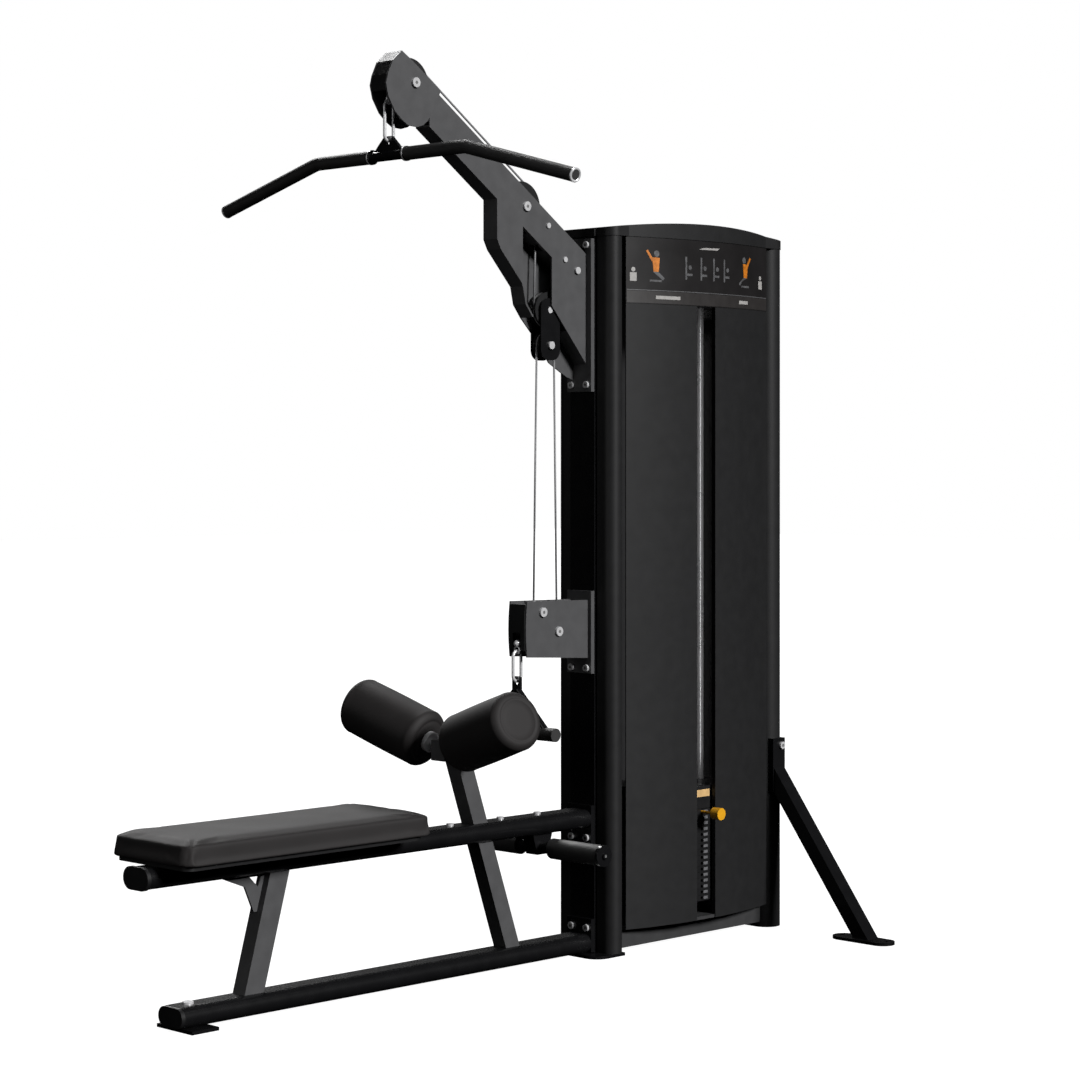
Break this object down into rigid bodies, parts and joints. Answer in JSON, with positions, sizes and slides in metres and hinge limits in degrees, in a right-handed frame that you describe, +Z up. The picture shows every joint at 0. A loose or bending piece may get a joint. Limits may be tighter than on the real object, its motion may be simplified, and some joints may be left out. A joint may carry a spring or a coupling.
{
  "type": "lat pulldown machine",
  "caption": "Lat pulldown and low row machine: shrouded weight stack, angled pulley boom with wide bar, row pulley box, bench rail with seat pad and thigh rollers.",
  "frame": {"origin": "on the floor under the tower's narrow front face, in the plane of symmetry, on the underside of the front foot plate", "axes": "+X from the bench towards the back of the tower, +Y across the machine towards the closed side, +Z up"},
  "size_m": [2.124, 1.2644, 2.265],
  "materials": {
    "frame_paint": "semi-gloss black powder coat",
    "shroud_paint": "fine-textured satin charcoal",
    "bracket_paint": "satin dark grey powder coat",
    "placard_plastic": "semi-gloss black",
    "black_plastic": "matte moulded black",
    "bright_steel": "bright zinc and chrome",
    "cable_grey": "clear-coated steel cable",
    "grip_rubber": "matte black",
    "vinyl": "black grained vinyl over foam",
    "plate_iron": "black enamel",
    "pin_yellow": "amber moulded knob"
  },
  "bodies": {
    "frame": {"front_column": "frame_paint", "floor_rail": "frame_paint", "seat_rail": "frame_paint", "foot_bar": "frame_paint", "rear_struts": "frame_paint", "rear_column": "shroud_paint", "front_trims": "shroud_paint", "top_cap": "shroud_paint", "left_panel": "shroud_paint", "right_panel": "shroud_paint", "far_panel": "shroud_paint", "inner_frame": "bracket_paint", "front_leg": "bracket_paint", "thigh_post": "bracket_paint", "boom": "bracket_paint", "boom_brace": "bracket_paint", "head_housing": "bracket_paint", "row_box": "bracket_paint", "header_placard": "placard_plastic", "rail_end_caps": "black_plastic", "head_cap": "black_plastic", "row_box_cover": "black_plastic", "seat_board": "black_plastic", "frame_bolts": "bright_steel", "fixed_axles": "bright_steel", "thigh_axles": "bright_steel", "guide_rods": "bright_steel", "fixed_cables": "cable_grey", "lift_cable": "cable_grey", "lat_drop_cable": "cable_grey", "lat_down_strand": "cable_grey", "lat_up_strand": "cable_grey", "row_fixed_strand": "cable_grey", "row_pull_strand": "cable_grey", "foot_sleeves": "grip_rubber", "seat_pad": "vinyl", "weight_plates": "plate_iron"},
    "head_pulley": {"head_pulley": "black_plastic"},
    "boom_pulley": {"boom_pulley": "black_plastic"},
    "entry_pulley": {"entry_pulley": "black_plastic"},
    "top_pulley": {"top_pulley": "black_plastic"},
    "row_pulley": {"row_pulley": "black_plastic"},
    "block": {"block_yoke": "frame_paint", "block_axles": "bright_steel", "block_cables": "cable_grey"},
    "block_upper_pulley": {"block_upper_pulley": "black_plastic"},
    "block_lower_pulley": {"block_lower_pulley": "black_plastic"},
    "lat_end": {"lat_stop_ball": "bright_steel"},
    "lat_hook": {"lat_carabiner": "bright_steel"},
    "lat_handle": {"lat_bar": "frame_paint", "lat_bar_grips": "grip_rubber"},
    "row_end": {"row_stop_ball": "bright_steel"},
    "row_hook": {"row_carabiner": "bright_steel"},
    "row_grip": {"row_handle": "frame_paint", "row_handle_grips": "grip_rubber"},
    "stack": {"head_plate": "plate_iron", "selector_stem": "bright_steel"},
    "pin": {"selector_pin": "pin_yellow"},
    "roller_near": {"roller_near": "vinyl"},
    "roller_far": {"roller_far": "vinyl"}
  },
  "joints": [
    {"name": "lat_pull", "type": "slide", "parent": "frame", "child": "lat_end", "axis": [0, 0, -1], "range_m": [0, 0.8], "deforming": ["lat_drop_cable"]},
    {"name": "lat_swing", "type": "hinge", "parent": "lat_end", "child": "lat_hook", "pos_m": [-0.67, 0, 2.131], "axis": [0, 1, 0], "range_deg": [-25, 25]},
    {"name": "bar_tilt", "type": "hinge", "parent": "lat_hook", "child": "lat_handle", "pos_m": [-0.67, 0, 2.048], "axis": [1, 0, 0], "range_deg": [-20, 20]},
    {"name": "stack_lift", "type": "slide", "parent": "frame", "child": "stack", "axis": [0, 0, 1], "range_m": [0, 0.8], "deforming": ["lift_cable"]},
    {"name": "pin_pull", "type": "slide", "parent": "stack", "child": "pin", "axis": [0, -1, 0], "range_m": [0, 0.06]},
    {"name": "head_spin", "type": "hinge", "parent": "frame", "child": "head_pulley", "pos_m": [-0.612, 0, 2.192], "axis": [0, 1, 0], "continuous": true},
    {"name": "boom_spin", "type": "hinge", "parent": "frame", "child": "boom_pulley", "pos_m": [-0.229, 0, 1.919], "axis": [0, 1, 0], "continuous": true},
    {"name": "entry_spin", "type": "hinge", "parent": "frame", "child": "entry_pulley", "pos_m": [-0.046, 0, 1.766], "axis": [0, 1, 0], "continuous": true},
    {"name": "top_spin", "type": "hinge", "parent": "frame", "child": "top_pulley", "pos_m": [0.284, 0, 1.766], "axis": [0, 1, 0], "continuous": true},
    {"name": "row_pull", "type": "slide", "parent": "frame", "child": "row_end", "axis": [-0.8, 0, 0.6], "range_m": [0, 0.7], "stiffness_N_per_m": 10, "springref_m": -2},
    {"name": "row_swing", "type": "hinge", "parent": "row_end", "child": "row_hook", "pos_m": [-0.237, 0, 0.782], "axis": [0, 1, 0], "range_deg": [-25, 25]},
    {"name": "row_tilt", "type": "hinge", "parent": "row_hook", "child": "row_grip", "pos_m": [-0.237, 0, 0.72], "axis": [1, 0, 0], "range_deg": [-15, 15]},
    {"name": "block_drop", "type": "slide", "parent": "frame", "child": "block", "axis": [0, 0, -1], "range_m": [0, 0.35], "deforming": ["lat_down_strand", "lat_up_strand", "row_fixed_strand", "row_pull_strand"]},
    {"name": "block_upper_spin", "type": "hinge", "parent": "block", "child": "block_upper_pulley", "pos_m": [-0.136, 0, 1.661], "axis": [0, 1, 0], "continuous": true},
    {"name": "block_lower_spin", "type": "hinge", "parent": "block", "child": "block_lower_pulley", "pos_m": [-0.136, 0, 1.571], "axis": [0, 1, 0], "continuous": true},
    {"name": "row_spin", "type": "hinge", "parent": "frame", "child": "row_pulley", "pos_m": [-0.121, 0, 0.842], "axis": [0, 1, 0], "continuous": true},
    {"name": "roller_near_spin", "type": "hinge", "parent": "frame", "child": "roller_near", "pos_m": [-0.483, 0, 0.565], "axis": [-0.1092, -0.9432, 0.3137], "continuous": true},
    {"name": "roller_far_spin", "type": "hinge", "parent": "frame", "child": "roller_far", "pos_m": [-0.483, 0, 0.565], "axis": [-0.1092, 0.9432, 0.3137], "continuous": true}
  ],
  "couplings": [
    {"joint": "stack_lift", "follows": "lat_pull", "ratio": 1},
    {"joint": "head_spin", "follows": "lat_pull", "rad_per_m": -17.241},
    {"joint": "boom_spin", "follows": "lat_pull", "rad_per_m": -16.667},
    {"joint": "entry_spin", "follows": "lat_pull", "rad_per_m": -20.833},
    {"joint": "top_spin", "follows": "lat_pull", "rad_per_m": -20.833},
    {"joint": "block_upper_spin", "follows": "lat_pull", "rad_per_m": 23.809},
    {"joint": "block_drop", "follows": "row_pull", "ratio": 0.5},
    {"joint": "row_spin", "follows": "row_pull", "rad_per_m": 37.037},
    {"joint": "block_lower_spin", "follows": "row_pull", "rad_per_m": 16.129}
  ]
}
